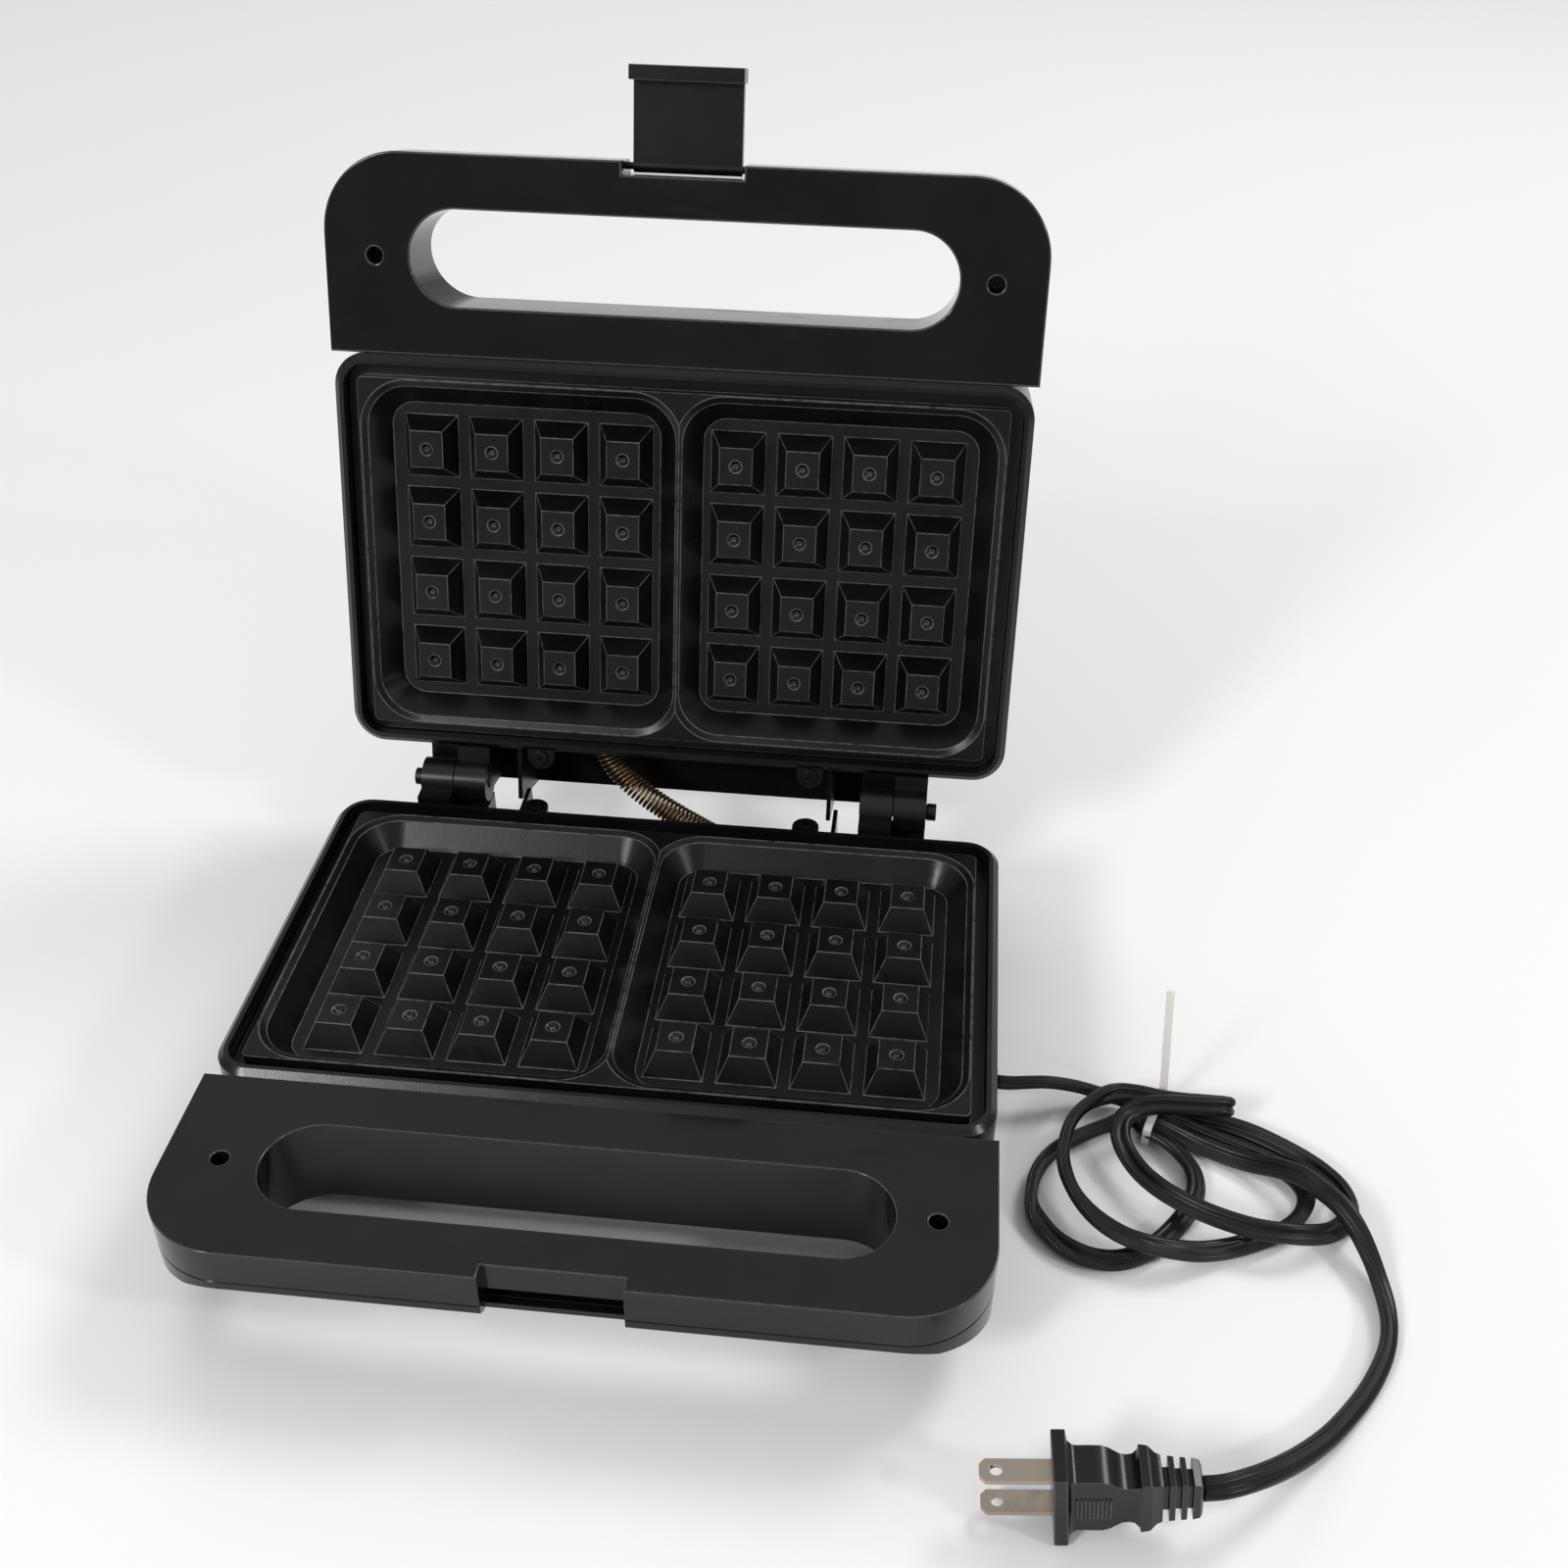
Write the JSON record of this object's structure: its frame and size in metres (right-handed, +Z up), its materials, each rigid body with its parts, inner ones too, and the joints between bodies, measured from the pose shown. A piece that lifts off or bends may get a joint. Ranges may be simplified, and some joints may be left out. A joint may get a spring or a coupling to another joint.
{
  "type": "waffle maker",
  "caption": "Electric waffle maker, shown open: base and hinged lid with pyramid-patterned plates, slotted handles, a swinging latch, a spring-sheathed wire run and a tied mains lead with plug.",
  "frame": {"origin": "floor level, under the middle of the appliance's box without its lead", "axes": "+X to the user's right, +Y to the rear from the handle to the hinges, +Z up"},
  "size_m": [0.344, 0.3168, 0.2731],
  "materials": {
    "shell_plastic": "black, satin to gloss",
    "handle_plastic": "glossy black",
    "coated_plate": "cast, black non-stick coating",
    "heater_steel": "dull, heat tinted",
    "sheet_metal": "rolled sheet",
    "ceramic": "unglazed pale ceramic",
    "screw_steel": "bright plated",
    "pin_steel": "plain steel",
    "foot_rubber": "matte black",
    "lead_rubber": "black flexible sheath",
    "plug_plastic": "black moulded",
    "tie_nylon": "translucent pale nylon",
    "sheath_bronze": "dark bronzed spring wire",
    "blade_brass": "nickel plated",
    "red_lens": "red lens",
    "green_lens": "green lens"
  },
  "bodies": {
    "base": {"base_shell": "shell_plastic", "base_handle_top": "handle_plastic", "base_handle_under": "handle_plastic", "lower_plate": "coated_plate", "lower_element": "heater_steel", "lower_heat_shield": "sheet_metal", "thermostat": "ceramic", "terminal_block": "ceramic", "base_plate_screws": "screw_steel", "base_handle_screws": "screw_steel", "base_ear_screws": "screw_steel", "rubber_feet": "foot_rubber", "hinge_pins": "pin_steel", "cord_gland": "lead_rubber", "wire_sheath": "sheath_bronze", "cord": "lead_rubber", "cable_tie": "tie_nylon", "plug_body": "plug_plastic", "plug_blades": "blade_brass"},
    "lid": {"lid_shell": "shell_plastic", "lid_handle_inner": "handle_plastic", "lid_handle_outer": "handle_plastic", "upper_plate": "coated_plate", "upper_element": "heater_steel", "upper_heat_shield": "sheet_metal", "thermal_fuse": "ceramic", "lid_plate_screws": "screw_steel", "lid_handle_screws": "screw_steel", "lid_ear_screws": "screw_steel", "power_lamp": "red_lens", "ready_lamp": "green_lens", "latch_pin": "pin_steel"},
    "latch": {"latch": "handle_plastic"}
  },
  "joints": [
    {"name": "lid_hinge", "type": "hinge", "parent": "base", "child": "lid", "pos_m": [0, 0.06818, 0.04395], "axis": [1, 0, 0], "range_deg": [0, 104.13], "deforming": ["wire_sheath"]},
    {"name": "latch_pivot", "type": "hinge", "parent": "lid", "child": "latch", "pos_m": [0, 0.13164, 0.24257], "axis": [1, 0, 0], "range_deg": [0, 90]}
  ]
}
